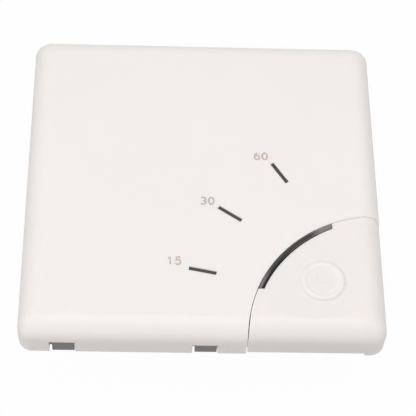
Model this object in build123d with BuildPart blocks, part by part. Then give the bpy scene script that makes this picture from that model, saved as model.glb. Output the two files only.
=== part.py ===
"""Push-button timer light switch on a single-gang square plate.

Millimetres. The origin is the centre of the wall plane that the mounting frame lies on.
+Z points out of the wall, +Y up the wall and +X to the right, as seen from the room.
"""
from build123d import *
import math
import os

os.makedirs("parts", exist_ok=True)

# Plate and cover
plate_side = 86.0
plate_corner_radius = 3.6
face_corner_radius = 1.6
rim_gap = 1.0
cover_depth = 9.5
edge_rounding = 5.0
rounding_shares = (0, 0.12, 0.3, 0.5, 0.7, 0.88, 1)
cover_wall = 2.0
cover_inner_fillet = 1.5
weld = 0.5
overrun = 1.0
pick_margin = 0.01

# Corner cut-out of the cover, and the button that fills it
cutout_radius = 32.85
seam_gap = 0.25
lip_wall = 1.2
cover_lip_level = 5.3
button_side_inset = 0.2
button_wall = 1.6
button_top_wall = 1.8
button_inner_chamfer = 1.6
button_skirt_lift = 0.45
foot_drop = 0.9
foot_reach = 5.0
button_lip_thickness = 2.7
button_lip_depth = 4.9
dish_centre_inset = 17.5
dish_reach = 14.3
dish_depth = 0.35
ring_right_inset = 15.1
ring_lower_inset = 14.75
ring_radius = 4.5
ring_bead_width = 1.55
ring_bead_height = 0.3
hand_width = 0.5
hand_height = 0.12
hand_corner_left = 1.0
hand_corner_down = 0.3
minute_hand_length = 2.9
hour_hand_length = 3.0

# Travel of the button and of the switch beneath it
button_travel = 0.5
tact_travel = 0.25
press_clearance = 0.02

# Arc lens in the button's notch
notch_depth = 1.5
notch_end_offset = 12.15
lens_gap = 0.2
lens_recess = 0.1
lens_foot_height = 1.0
lens_foot_spread = 0.9
lens_pocket_depth = 0.75

# Time windows, laid out as a fan
fan_centre_inset = 0.7
fan_centre_raise = 8.3
fan_first_angle = 123.0
fan_step_angle = 22.9
window_names = ("window_60", "window_30", "window_15")
window_length = 6.6
window_width = 1.0
window_mid_radius = 43.4
window_fit_gap = 0.05
window_recess = 0.4
window_flange_margin = 1.0
window_flange_thickness = 0.6

# Pry notches in the cover's lower wall, and the frame's tabs that stand in them
notch_width = 5.9
side_notch_height = 4.3
side_notch_left = 32.65
middle_notch_height = 3.7
middle_notch_right = 0.5
tab_width = 5.15
tab_shift = 0.22
tab_reach = 1.47
tab_top_gap = 0.3

# Snap beads on the cover and their grooves in the frame
snap_bead_height = 0.25
snap_bead_length = 9.0
snap_bead_level = 3.4
snap_offset = 20.0
snap_groove_clearance = 0.12

# Mounting frame
frame_gap = 0.3
frame_wall = 1.4
frame_floor = 1.6
frame_corner_radius = 1.4
frame_wall_height = 7.2
frame_corner_wall_height = 6.4
rest_pad_gap = 0.2
rest_pad_length = 6.0
rest_pad_thickness = 1.2
frame_window_side = 30.0
frame_post_radius = 2.6
hold_down_radius = 1.2
hold_down_right = 19.0
hold_down_up = 8.0

# Fixing screws of the wall box
fixing_spacing = 60.3
fixing_hole_radius = 2.1
fixing_boss_radius = 3.6
fixing_boss_height = 3.0
fixing_access_radius = 4.2

# Guide pegs, sleeves, springs and hooks of the button
peg_radius = 1.5
peg_fit_gap = 0.08
peg_near_inset = 7.0
peg_arc_margin = 10.35
peg_end_level = 2.3
sleeve_wall = 1.0
sleeve_top_level = 4.9
sleeve_bore_floor = 0.8
board_sleeve_gap = 0.3
spring_wire_radius = 0.17
spring_wire_sides = 6
spring_coil_radius = 2.15
spring_turns = 3.5
spring_seat_gap = 0.04
hook_far_inset = 17.0
hook_width = 4.0
hook_thickness = 1.2
hook_wall_gap = 0.25
hook_barb_reach = 0.6
hook_barb_height = 1.2
hook_barb_top = 4.4
hook_catch_gap = 0.03
hook_window_side_gap = 0.4
board_hook_gap = 0.4
stem_radius = 1.7

# Control board
board_thickness = 1.6
board_standoff = 0.6
board_edge_gap = 0.4
board_corner_radius = 1.0
board_screw_inset = 6.2
board_screw_from_corner = 38.0
board_screw_hole_radius = 1.2
board_boss_radius = 2.6
screw_pilot_radius = 1.0
screw_thread_gap = 0.03
screw_head_radius = 2.0
screw_head_height = 1.2
screw_slot_width = 0.6
screw_slot_depth = 0.5
screw_reach = 2.9

# Tact switch
tact_side = 6.2
tact_body_height = 1.9
tact_shield_thickness = 0.2
tact_plunger_radius = 1.65
tact_plunger_rise = 0.7
tact_plunger_gap = 0.08
tact_flange_radius = 2.1
tact_flange_height = 0.5
tact_cavity_gap = 0.15
tact_floor = 0.6
tact_nub_radius = 0.8
dome_radius = 2.0
dome_rise = 0.4
dome_thickness = 0.12
shield_tab_width = 1.6
shield_tab_gap = 0.05

# Small parts on the control board
led_length = 1.6
led_width = 0.8
led_height = 0.6
led_chamfer = 0.15
arc_led_middle_angle = 135.0
arc_led_step_angle = 11.0
arc_led_count = 4
resistor_length = 2.0
resistor_width = 1.25
resistor_height = 0.5
resistor_pitch = 3.2
resistor_count = 5
resistor_row_inset = 18.9
resistor_row_down = 10.0
chip_length = 8.6
chip_width = 3.9
chip_height = 1.5
chip_lead_count = 7
chip_lead_pitch = 1.27
chip_lead_width = 0.42
chip_lead_thickness = 0.22
chip_lead_reach = 1.05
chip_inset = 14.9
chip_up = 4.0
chip_standoff = 0.12
light_box_wall = 0.9
light_box_gap = 0.35
light_box_rib = 1.0
light_box_height = 3.7

# Board-to-board header
header_pin_count = 6
header_pitch = 2.54
header_body_width = 2.5
header_pin_side = 0.64
header_hole_gap = 0.13
header_body_height = 2.5
header_right = 0.2
header_up = 3.0
header_tail = 1.0
header_pin_top = 1.6

# Rear housing
housing_side = 50.0
housing_depth = 22.0
housing_wall = 1.6
housing_corner_radius = 3.0
pocket_depth = 0.8
pocket_gap = 0.3
housing_back_chamfer = 1.0
post_inset = 4.4
post_radius = 3.2
post_meet_depth = 7.0
post_counterbore_radius = 2.4
post_seat_thickness = 2.0
housing_screw_radius = 1.2
housing_screw_hole_gap = 0.2
housing_screw_grip = 4.5
housing_screw_head_radius = 2.2
housing_screw_head_height = 1.5
board_ledge_width = 6.0
board_ledge_thickness = 1.2
board_ledge_offset = 8.0
rear_rib_count = 5
rear_rib_pitch = 4.0
rear_rib_width = 0.8
rear_rib_length = 16.0
rear_rib_relief = 0.4
rear_rib_up = 8.0

# Power board
power_board_level = 4.4
power_board_gap = 0.35
post_board_gap = 0.3
sheet_thickness = 0.3
sheet_margin = 2.0
sheet_slot_margin = 1.2

# Relay
relay_left = 10.2
relay_up = 9.0
relay_length = 17.9
relay_width = 13.6
relay_base_thickness = 1.6
relay_standoff = 0.3
relay_case_wall = 0.7
relay_case_gap = 0.06
relay_case_overlap = 1.1
relay_total_height = 15.2
yoke_thickness = 1.0
yoke_width = 9.0
yoke_ridge = 0.42
yoke_edge_inset = 0.5
yoke_foot_margin = 1.0
bobbin_flange = 9.6
bobbin_flange_thickness = 0.8
bobbin_length = 9.2
bobbin_barrel_radius = 2.5
coil_shift = 2.0
core_radius = 1.8
core_gap = 0.05
pole_radius = 2.9
pole_thickness = 0.6
winding_radius = 4.5
armature_gap = 0.5
armature_thickness = 1.0
armature_width = 8.6
armature_end_past_pole = 0.4
armature_lock_angle = 2.9
blade_thickness = 0.25
blade_width = 4.6
contact_radius = 1.0
contact_from_end = 2.3
contact_closed_gap = 0.05
contact_rivet_height = 0.6
contact_rivet_tail = 0.25
fixed_rivet_height = 0.3
contact_tab_thickness = 0.6
contact_strip_inset = 0.4
contact_tab_width = 3.0
blade_start_margin = 4.0
relay_pin_width = 1.0
relay_pin_thickness = 0.5
relay_pin_hole_gap = 0.12
relay_pin_inset = 2.2
relay_pin_side_inset = 1.9
relay_pin_tail = 0.6

# Other parts on the power board
capacitor_length = 17.5
capacitor_width = 6.0
capacitor_height = 12.5
capacitor_right = 10.3
capacitor_up = 13.2
capacitor_edge = 0.6
electrolytic_radius = 4.0
electrolytic_height = 11.0
electrolytic_right = 5.8
electrolytic_down = 4.5
electrolytic_groove = 0.35
electrolytic_rim = 0.5
electrolytic_neck = 0.9
varistor_radius = 4.4
varistor_thickness = 3.4
varistor_right = 16.0
varistor_down = 2.5
fuse_radius = 1.7
fuse_length = 8.0
fuse_cap_radius = 2.0
fuse_cap_length = 2.2
fuse_cap_overlap = 1.4
fuse_left = 11.0
fuse_down = 5.5
bridge_length = 6.4
bridge_width = 4.8
bridge_height = 2.6
bridge_right = 12.3
bridge_up = 5.2
choke_radius = 3.1
choke_flange_thickness = 0.8
choke_height = 7.0
choke_left = 3.4
choke_down = 10.6
choke_waist_radius = 1.5
choke_winding_radius = 2.8
varistor_edge = 0.8
lead_radius = 0.3
lead_standoff = 0.5
lead_spacing_share = 0.6

# Terminal block with rising cages
terminal_count = 3
terminal_pitch = 7.8
terminal_block_width = 24.6
terminal_block_depth = 10.0
terminal_block_height = 17.2
terminal_fit_gap = 0.1
cage_width = 6.0
cage_depth = 6.2
cage_height = 6.0
cage_wall = 0.9
cage_gap = 0.15
cage_front_wall = 1.0
cage_travel = 2.1
terminal_shoulder = 0.8
terminal_screw_radius = 1.75
terminal_thread_gap = 0.05
terminal_shank_gap = 0.15
terminal_head_radius = 2.5
terminal_head_height = 1.5
terminal_head_gap = 0.25
terminal_head_recess = 0.4
terminal_slot_width = 0.8
terminal_slot_depth = 0.8
tongue_thickness = 0.9
tongue_width = 3.6
tongue_gap = 0.1
tongue_side_gap = 0.1
tongue_pin_width = 1.2
tongue_pin_hole_gap = 0.15
tongue_set_back = 1.6
wire_entry_width = 4.4
wire_entry_height = 3.0

# Levels and edges that several pieces share
face_level = rim_gap + cover_depth
ceiling_level = face_level - cover_wall
half_plate = plate_side / 2
notch_inner_radius = cutout_radius - notch_depth
half_inside = half_plate - cover_wall
half_frame = half_inside - frame_gap
half_frame_inside = half_frame - frame_wall
notches = ((-side_notch_left, side_notch_height), (middle_notch_right, middle_notch_height))
half_lip = half_frame_inside - frame_gap
corner = (half_plate, -half_plate)
board_bottom = frame_floor + board_standoff
board_top = board_bottom + board_thickness
button_radius = cutout_radius - seam_gap
button_ceiling = face_level - button_top_wall
half_button = half_plate - button_side_inset
half_button_inside = half_button - button_wall
button_bottom = rim_gap + button_skirt_lift - foot_drop
skirt_root_start = half_button_inside - button_wall / 2
fan_centre = (corner[0] - fan_centre_inset, corner[1] + fan_centre_raise)
peg_places = (
    (corner[0] - cutout_radius + peg_arc_margin, corner[1] + peg_near_inset),
    (corner[0] - peg_near_inset, corner[1] + cutout_radius - peg_arc_margin),
)
ring_centre = (half_plate - ring_right_inset, -half_plate + ring_lower_inset)
dish_centre = (half_plate - dish_centre_inset, -half_plate + dish_centre_inset)
sleeve_radius = peg_radius + peg_fit_gap + sleeve_wall
snap_places = (
    (0, -snap_offset),
    (0, snap_offset),
    (90, -snap_offset),
    (90, snap_offset),
    (180, snap_offset),
    (270, -snap_offset),
)
ring_tube_radius = (ring_bead_width ** 2 / 4 + ring_bead_height ** 2) / (2 * ring_bead_height)
tact_plunger_top = board_top + tact_body_height + tact_plunger_rise
stem_end_level = tact_plunger_top + button_travel - tact_travel + press_clearance
hook_place = half_plate - hook_far_inset
half_hook_outside = half_frame_inside - hook_wall_gap
hook_planes = (
    Plane(origin=(hook_place, -half_hook_outside, 0), x_dir=(0, -1, 0), z_dir=(-1, 0, 0)),
    Plane(origin=(half_hook_outside, -hook_place, 0), x_dir=(1, 0, 0), z_dir=(0, -1, 0)),
)
spring_level = sleeve_top_level + spring_seat_gap + spring_wire_radius
spring_height = button_ceiling - spring_seat_gap - spring_wire_radius - spring_level
dish_sphere_radius = (dish_reach ** 2 + dish_depth ** 2) / (2 * dish_depth)
ring_offset = math.hypot(ring_centre[0] - dish_centre[0], ring_centre[1] - dish_centre[1])
ring_floor = face_level - dish_depth * (1 - (ring_offset / dish_reach) ** 2)
ring_floor_rise = ring_radius ** 2 / (2 * dish_sphere_radius)
ring_plane = Plane(
    origin=(*ring_centre, ring_floor + ring_floor_rise + ring_bead_height - ring_tube_radius),
    x_dir=(1, 0, 0),
    z_dir=(
        dish_centre[0] - ring_centre[0],
        dish_centre[1] - ring_centre[1],
        face_level - dish_depth + dish_sphere_radius - ring_floor,
    ),
)
half_housing = housing_side / 2
half_housing_inside = half_housing - housing_wall
post_place = half_housing - post_inset
housing_back = -housing_depth
housing_floor = housing_back + housing_wall
power_board_top = -power_board_level + board_thickness
half_board = half_frame_inside - board_edge_gap
chip_left = half_board - chip_inset
resistor_row_left = half_board - resistor_row_inset
board_screw_places = (
    (-half_board + board_screw_inset, half_board - board_screw_inset),
    (half_board - board_screw_inset, half_board - board_screw_inset),
    (-half_board + board_screw_inset, -half_board + board_screw_inset),
    (corner[0] - board_screw_from_corner, -half_board + board_screw_inset),
)
fixing_places = ((-fixing_spacing / 2, 0), (fixing_spacing / 2, 0))
header_hole_side = header_pin_side + 2 * header_hole_gap
header_places = [
    (header_right, header_up + header_pitch * (number - (header_pin_count - 1) / 2))
    for number in range(header_pin_count)
]
housing_screw_seat = -post_meet_depth - post_seat_thickness
half_power_board = half_housing_inside - power_board_gap
post_notch = 2 * (half_power_board - post_place + frame_post_radius + post_board_gap)
chip_foot = chip_width / 2 + chip_lead_reach
chip_knee = chip_width / 2 + chip_lead_reach / 2
chip_root = chip_width / 2 - chip_lead_thickness
chip_shoulder = board_top + chip_standoff + chip_height / 2
tact_top = board_top + tact_body_height
tact_cavity_radius = tact_flange_radius + tact_cavity_gap
dome_level = board_top + tact_floor
lead_level = -power_board_level - lead_standoff
can_side = electrolytic_right + electrolytic_radius
varistor_level = lead_level - varistor_radius
fuse_level = lead_level - fuse_cap_radius
fuse_half_span = (fuse_length + fuse_cap_length - fuse_cap_overlap) / 2
choke_place = (-choke_left, -choke_down)
choke_level = lead_level - choke_height
relay_centre = (-relay_left, relay_up)
relay_top = -power_board_level - relay_standoff
relay_base_inside = relay_top - relay_base_thickness
coil_centre = (relay_centre[0] - coil_shift, relay_centre[1])
yoke_left = relay_centre[0] - relay_length / 2 + yoke_edge_inset
bobbin_top = relay_base_inside - yoke_thickness
bobbin_bottom = bobbin_top - bobbin_length
pole_face = bobbin_bottom - pole_thickness
armature_top = pole_face - armature_gap
armature_bottom = armature_top - armature_thickness
armature_pivot_x = yoke_left + yoke_thickness / 2
contact_x = relay_centre[0] + relay_length / 2 - contact_from_end
contact_strip_x = relay_centre[0] + relay_length / 2 - contact_strip_inset
contact_arm = contact_x - armature_pivot_x + contact_radius
contact_lift = contact_arm * math.sin(math.radians(armature_lock_angle))
moving_contact_top = armature_bottom + contact_rivet_height
fixed_contact_face = moving_contact_top + contact_lift + contact_closed_gap
contact_tab_level = fixed_contact_face + fixed_rivet_height
relay_pin_across = relay_length / 2 - relay_pin_inset
relay_pin_along = relay_width / 2 - relay_pin_side_inset
relay_pin_places = [
    (relay_centre[0] + x * relay_pin_across, relay_up + y * relay_pin_along)
    for x in (-1, 1)
    for y in (-1, 1)
]
terminal_places = [
    terminal_pitch * (number - (terminal_count - 1) / 2) for number in range(terminal_count)
]
cage_y = -half_housing + cage_front_wall + cage_gap + cage_depth / 2
terminal_head_seat = housing_back + terminal_head_recess + terminal_head_height
cage_cavity_floor = terminal_head_seat + terminal_shoulder
cage_rest_level = cage_cavity_floor + cage_gap
cage_cavity_top = cage_rest_level + cage_height + cage_travel + cage_gap
tongue_level = cage_rest_level + cage_wall + cage_travel + tongue_gap
tongue_back = cage_y + cage_depth / 2 + cage_gap + tongue_set_back
block_top = housing_back + terminal_block_height
notch_square_place = (
    corner[0] - notch_end_offset - cutout_radius / 2,
    corner[1] + notch_end_offset + cutout_radius / 2,
)
arc_led_radius = (cutout_radius + notch_inner_radius) / 2
arc_led_angles = [
    arc_led_middle_angle + arc_led_step_angle * (number - (arc_led_count - 1) / 2)
    for number in range(arc_led_count)
]
fan_angles = [fan_first_angle + fan_step_angle * number for number in range(len(window_names))]


def skin_sections(side):
    """Height, side and corner radius of the level outlines up a plate's rounded edge."""
    sections = []
    for share in rounding_shares:
        turn = share * math.pi / 2
        inset = edge_rounding * (1 - math.cos(turn))
        height = face_level - edge_rounding * (1 - math.sin(turn))
        radius = plate_corner_radius + (face_corner_radius - plate_corner_radius) * inset / edge_rounding
        sections.append((height, side - 2 * inset, radius))
    return sections


def fan_place(angle, radius):
    """A point of the fan at this angle and distance from its centre."""
    turn = math.radians(angle)
    return (fan_centre[0] + radius * math.cos(turn), fan_centre[1] + radius * math.sin(turn))


def corner_place(angle, radius):
    """A point at this angle and distance from the plate's lower right corner."""
    turn = math.radians(angle)
    return (corner[0] + radius * math.cos(turn), corner[1] + radius * math.sin(turn))


def save(part, name):
    """Label a finished piece and write its file."""
    part.label = name
    export_step(part, f"parts/{name}.step")


arc_led_places = [
    Location(corner_place(angle, arc_led_radius), angle + 90) for angle in arc_led_angles
]


# Front cover: a rounded shell, cut away at one corner for the button
with BuildPart() as front_cover:
    with BuildSketch(Plane.XY.offset(rim_gap)):
        RectangleRounded(plate_side, plate_side, plate_corner_radius)
    extrude(amount=cover_depth - edge_rounding)
    for height, side, radius in skin_sections(plate_side):
        with BuildSketch(Plane.XY.offset(height)):
            RectangleRounded(side, side, radius)
    loft()
    with BuildSketch(Plane.XY.offset(rim_gap)):
        RectangleRounded(2 * half_inside, 2 * half_inside, cover_inner_fillet + pick_margin)
    extrude(amount=ceiling_level - rim_gap, mode=Mode.SUBTRACT)
    ceiling_edges = front_cover.edges().filter_by_position(
        Axis.Z, ceiling_level - pick_margin, ceiling_level + pick_margin
    )
    fillet(ceiling_edges, cover_inner_fillet)
    # Lip round the cut-out, short of the frame's wall
    with BuildSketch(Plane.XY.offset(cover_lip_level)):
        with Locations(corner):
            Circle(cutout_radius + lip_wall)
        Rectangle(2 * half_lip, 2 * half_lip, mode=Mode.INTERSECT)
    extrude(amount=ceiling_level + weld - cover_lip_level)
    with BuildSketch(Plane.XY.offset(rim_gap)):
        with Locations(corner):
            Circle(cutout_radius)
    extrude(amount=cover_depth + overrun, mode=Mode.SUBTRACT)
    # Slots for the time windows
    for angle in fan_angles:
        with BuildSketch(Plane.XY.offset(ceiling_level - overrun)):
            with Locations(Location(fan_place(angle, window_mid_radius), angle)):
                Rectangle(window_length, window_width)
        extrude(amount=cover_wall + 2 * overrun, mode=Mode.SUBTRACT)
    # Pry notches
    with BuildSketch(Plane.XZ.offset(half_inside - overrun)):
        for place, height in notches:
            with Locations((place, rim_gap)):
                Rectangle(notch_width, 2 * height)
    extrude(amount=cover_wall + 2 * overrun, mode=Mode.SUBTRACT)
    # Snap beads inside the walls
    for turn, place in snap_places:
        with BuildSketch(Plane.XY.rotated((0, 0, turn)).offset(snap_bead_level)):
            with Locations((place, half_inside + (weld - snap_bead_height) / 2)):
                Rectangle(snap_bead_length, weld + snap_bead_height)
        extrude(amount=snap_bead_height, both=True)
save(front_cover.part, "front_cover")

# Time windows: smoked bars with a flange under the cover's ceiling
for name, angle in zip(window_names, fan_angles):
    with BuildPart() as window:
        with BuildSketch(Plane.XY.offset(ceiling_level - window_flange_thickness)):
            with Locations(Location(fan_place(angle, window_mid_radius), angle)):
                RectangleRounded(
                    window_length + 2 * window_flange_margin,
                    window_width + 2 * window_flange_margin,
                    window_flange_margin,
                )
        extrude(amount=window_flange_thickness)
        with BuildSketch(Plane.XY.offset(ceiling_level)):
            with Locations(Location(fan_place(angle, window_mid_radius), angle)):
                Rectangle(window_length - 2 * window_fit_gap, window_width - 2 * window_fit_gap)
        extrude(amount=cover_wall - window_recess)
    save(window.part, name)

# Corner button: a quarter of a plate with a dished face, a ring and a clock face
with BuildPart() as timer_button:
    with BuildSketch(Plane.XY.offset(button_bottom)):
        RectangleRounded(2 * half_button, 2 * half_button, plate_corner_radius)
    extrude(amount=face_level - edge_rounding - button_bottom)
    for height, side, radius in skin_sections(2 * half_button):
        with BuildSketch(Plane.XY.offset(height)):
            RectangleRounded(side, side, radius)
    loft()
    with BuildSketch(Plane.XY.offset(button_bottom)):
        Rectangle(plate_side + overrun, plate_side + overrun)
        with Locations(corner):
            Circle(button_radius, mode=Mode.SUBTRACT)
    extrude(amount=cover_depth + overrun, mode=Mode.SUBTRACT)
    # Hollow, open to the rear, bounded by the two skirts and the lip along the arc
    with BuildSketch(Plane.XY.offset(button_bottom)):
        with Locations(corner):
            Circle(button_radius - button_lip_thickness)
        RectangleRounded(
            2 * half_button_inside,
            2 * half_button_inside,
            plate_corner_radius - button_wall,
            mode=Mode.INTERSECT,
        )
    extrude(amount=button_ceiling - button_bottom, mode=Mode.SUBTRACT)
    # Arc lip: short, and clear of the frame's wall
    with BuildSketch(Plane.XY.offset(button_bottom)):
        with Locations(corner):
            Circle(cutout_radius)
            Circle(button_radius - button_lip_thickness - pick_margin, mode=Mode.SUBTRACT)
        Rectangle(2 * half_button_inside, 2 * half_button_inside, mode=Mode.INTERSECT)
    extrude(amount=face_level - button_lip_depth - button_bottom, mode=Mode.SUBTRACT)
    with BuildSketch(Plane.XY.offset(button_bottom)):
        RectangleRounded(
            2 * half_button_inside,
            2 * half_button_inside,
            plate_corner_radius - button_wall,
        )
        Rectangle(2 * half_lip, 2 * half_lip, mode=Mode.SUBTRACT)
    extrude(amount=button_ceiling - button_bottom, mode=Mode.SUBTRACT)
    # Thicker skirt roots, so that the rounded edge keeps its wall
    chamfer(
        [
            edge
            for edge in timer_button.edges().filter_by_position(
                Axis.Z, button_ceiling - pick_margin, button_ceiling + pick_margin
            )
            if max(abs(edge.center().X), abs(edge.center().Y)) > skirt_root_start
        ],
        button_inner_chamfer,
    )
    # Skirts lifted clear of the wall, but for the foot at the corner
    with BuildSketch(Plane.XY.offset(button_bottom)):
        Rectangle(plate_side + overrun, plate_side + overrun)
        with Locations(corner):
            Rectangle(2 * foot_reach, 2 * foot_reach, mode=Mode.SUBTRACT)
    extrude(amount=foot_drop, mode=Mode.SUBTRACT)
    # Notch for the arc lens
    with BuildSketch(Plane.XY.offset(button_bottom)):
        with Locations(corner):
            Circle(cutout_radius + overrun)
            Circle(notch_inner_radius, mode=Mode.SUBTRACT)
        with Locations(notch_square_place):
            Rectangle(cutout_radius, cutout_radius, mode=Mode.INTERSECT)
    extrude(amount=cover_depth + overrun, mode=Mode.SUBTRACT)
    # Dished face
    with Locations((*dish_centre, face_level - dish_depth + dish_sphere_radius)):
        Sphere(dish_sphere_radius, mode=Mode.SUBTRACT)
    # Raised ring, and two hands like a clock's inside it
    with Locations(ring_plane):
        Torus(ring_radius, ring_tube_radius)
    with BuildSketch(Plane.XY.offset(ring_floor - weld)):
        with Locations((ring_centre[0] - hand_corner_left, ring_centre[1] - hand_corner_down)):
            Rectangle(hand_width, minute_hand_length, align=(Align.CENTER, Align.MIN))
            Rectangle(hour_hand_length, hand_width, align=(Align.MIN, Align.CENTER))
    extrude(amount=weld + hand_height)
    # Guide pegs, the stem over the switch and the retaining hooks
    with BuildSketch(Plane.XY.offset(peg_end_level)):
        with Locations(*peg_places):
            Circle(peg_radius)
    extrude(amount=button_ceiling + weld - peg_end_level)
    with BuildSketch(Plane.XY.offset(stem_end_level)):
        with Locations(ring_centre):
            Circle(stem_radius)
    extrude(amount=button_ceiling + weld - stem_end_level)
    for plane in hook_planes:
        with BuildSketch(plane):
            Polygon(
                (-hook_thickness, hook_barb_top - hook_barb_height),
                (0, hook_barb_top - hook_barb_height),
                (hook_barb_reach, hook_barb_top - hook_barb_height / 2),
                (hook_barb_reach, hook_barb_top),
                (0, hook_barb_top),
                (0, button_ceiling + weld),
                (-hook_thickness, button_ceiling + weld),
                align=None,
            )
        extrude(amount=hook_width / 2, both=True)
save(timer_button.part, "timer_button")

# Mounting frame: a tray that lies on the wall and carries everything else
with BuildPart() as mounting_frame:
    with BuildSketch():
        RectangleRounded(2 * half_frame, 2 * half_frame, frame_corner_radius)
    extrude(amount=frame_wall_height)
    with BuildSketch(Plane.XY.offset(frame_floor)):
        Rectangle(2 * half_frame_inside, 2 * half_frame_inside)
    extrude(amount=frame_wall_height, mode=Mode.SUBTRACT)
    # Tabs in the cover's pry notches
    with BuildSketch(Plane.XZ.offset(half_frame - weld)):
        for place, height in notches:
            with Locations((place + tab_shift, 0)):
                Rectangle(tab_width, rim_gap + height - tab_top_gap, align=(Align.CENTER, Align.MIN))
    extrude(amount=weld + tab_reach)
    # Lower wall beneath the corner button
    with BuildSketch(Plane.XY.offset(frame_corner_wall_height)):
        with Locations(corner):
            Circle(cutout_radius + lip_wall + frame_gap)
    extrude(amount=frame_wall_height, mode=Mode.SUBTRACT)
    # Pocket for the rear housing, and the window that joins the two spaces
    with BuildSketch():
        RectangleRounded(
            housing_side + 2 * pocket_gap, housing_side + 2 * pocket_gap, housing_corner_radius + pocket_gap
        )
    extrude(amount=pocket_depth, mode=Mode.SUBTRACT)
    with BuildSketch():
        Rectangle(frame_window_side, frame_window_side)
    extrude(amount=frame_floor + overrun, mode=Mode.SUBTRACT)
    # Bosses of the fixing screws
    with BuildSketch(Plane.XY.offset(frame_floor - weld)):
        with Locations(*fixing_places):
            Circle(fixing_boss_radius)
        Rectangle(2 * half_frame, 2 * half_frame, mode=Mode.INTERSECT)
    extrude(amount=fixing_boss_height - frame_floor + weld)
    with BuildSketch():
        with Locations(*fixing_places):
            Circle(fixing_hole_radius)
    extrude(amount=fixing_boss_height + overrun, mode=Mode.SUBTRACT)
    # Bosses under the control board
    with BuildSketch(Plane.XY.offset(frame_floor - weld)):
        with Locations(*board_screw_places):
            Circle(board_boss_radius)
    extrude(amount=board_standoff + weld)
    with BuildSketch(Plane.XY.offset(board_top - screw_reach)):
        with Locations(*board_screw_places):
            Circle(screw_pilot_radius + screw_thread_gap)
    extrude(amount=screw_reach, mode=Mode.SUBTRACT)
    # Sleeves of the guide pegs
    with BuildSketch(Plane.XY.offset(frame_floor - weld)):
        with Locations(*peg_places):
            Circle(sleeve_radius)
    extrude(amount=sleeve_top_level - frame_floor + weld)
    with BuildSketch(Plane.XY.offset(sleeve_bore_floor)):
        with Locations(*peg_places):
            Circle(peg_radius + peg_fit_gap)
    extrude(amount=sleeve_top_level, mode=Mode.SUBTRACT)
    # Grooves for the cover's snap beads
    for turn, place in snap_places:
        with BuildSketch(Plane.XY.rotated((0, 0, turn)).offset(snap_bead_level)):
            with Locations((place, half_frame)):
                Rectangle(snap_bead_length + 2 * snap_groove_clearance, 2 * snap_groove_clearance)
        extrude(amount=snap_bead_height + snap_groove_clearance, both=True, mode=Mode.SUBTRACT)
    # Pads that the cover's ceiling rests on
    for turn, place in snap_places:
        with BuildSketch(Plane.XY.rotated((0, 0, turn)).offset(frame_wall_height - overrun)):
            with Locations((place, half_frame_inside)):
                Rectangle(rest_pad_length, rest_pad_thickness, align=(Align.CENTER, Align.MAX))
        extrude(amount=ceiling_level - rest_pad_gap - frame_wall_height + overrun)
    # Catches of the button's hooks
    for plane in hook_planes:
        with BuildSketch(plane):
            with Locations((hook_wall_gap + frame_wall / 2, hook_barb_top + hook_catch_gap)):
                Rectangle(
                    frame_wall + 2 * pick_margin,
                    hook_barb_height + button_travel + 2 * hook_catch_gap,
                    align=(Align.CENTER, Align.MAX),
                )
        extrude(amount=hook_width / 2 + hook_window_side_gap, both=True, mode=Mode.SUBTRACT)
    # Posts towards the rear housing, with blind holes for its screws
    with BuildSketch(Plane.XY.offset(-post_meet_depth)):
        with GridLocations(2 * post_place, 2 * post_place, 2, 2):
            Circle(frame_post_radius)
    extrude(amount=post_meet_depth + pocket_depth + weld)
    with BuildSketch(Plane.XY.offset(-post_meet_depth)):
        with GridLocations(2 * post_place, 2 * post_place, 2, 2):
            Circle(housing_screw_radius + screw_thread_gap)
    extrude(amount=housing_screw_grip + overrun, mode=Mode.SUBTRACT)
    # Pegs that hold the power board down on its ledges
    with BuildSketch(Plane.XY.offset(power_board_top)):
        with GridLocations(2 * hold_down_right, 2 * hold_down_up, 2, 2):
            Circle(hold_down_radius)
    extrude(amount=pocket_depth + weld - power_board_top)
save(mounting_frame.part, "mounting_frame")

# Arc lens: a light guide with a foot on the control board
with BuildPart() as arc_lens:
    with BuildSketch(Plane.XY.offset(board_top)):
        with Locations(corner):
            Circle(cutout_radius - lens_gap + lens_foot_spread)
            Circle(notch_inner_radius + lens_gap - lens_foot_spread, mode=Mode.SUBTRACT)
        with Locations(notch_square_place):
            Rectangle(cutout_radius - 2 * lens_gap, cutout_radius - 2 * lens_gap, mode=Mode.INTERSECT)
    extrude(amount=lens_foot_height)
    with BuildSketch(Plane.XY.offset(board_top)):
        with Locations(corner):
            Circle(cutout_radius - lens_gap)
            Circle(notch_inner_radius + lens_gap, mode=Mode.SUBTRACT)
        with Locations(notch_square_place):
            Rectangle(cutout_radius - 2 * lens_gap, cutout_radius - 2 * lens_gap, mode=Mode.INTERSECT)
    extrude(amount=face_level - lens_recess - board_top)
    for place in arc_led_places:
        with BuildSketch(Plane.XY.offset(board_top)):
            with Locations(place):
                Rectangle(led_length + 2 * lens_gap, led_length + 2 * lens_gap)
        extrude(amount=lens_pocket_depth, mode=Mode.SUBTRACT)
save(arc_lens.part, "arc_lens")

# Lights on the control board: one under each window, and a row under the lens
for name, places in (
    ("window_lights", [Location(fan_place(angle, window_mid_radius), angle) for angle in fan_angles]),
    ("arc_lights", arc_led_places),
):
    with BuildPart() as lights:
        with BuildSketch(Plane.XY.offset(board_top)):
            with Locations(*places):
                Rectangle(led_length, led_width)
        extrude(amount=led_height)
        chamfer(lights.faces().group_by(Axis.Z)[-1].edges(), led_chamfer)
    save(lights.part, name)

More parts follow.
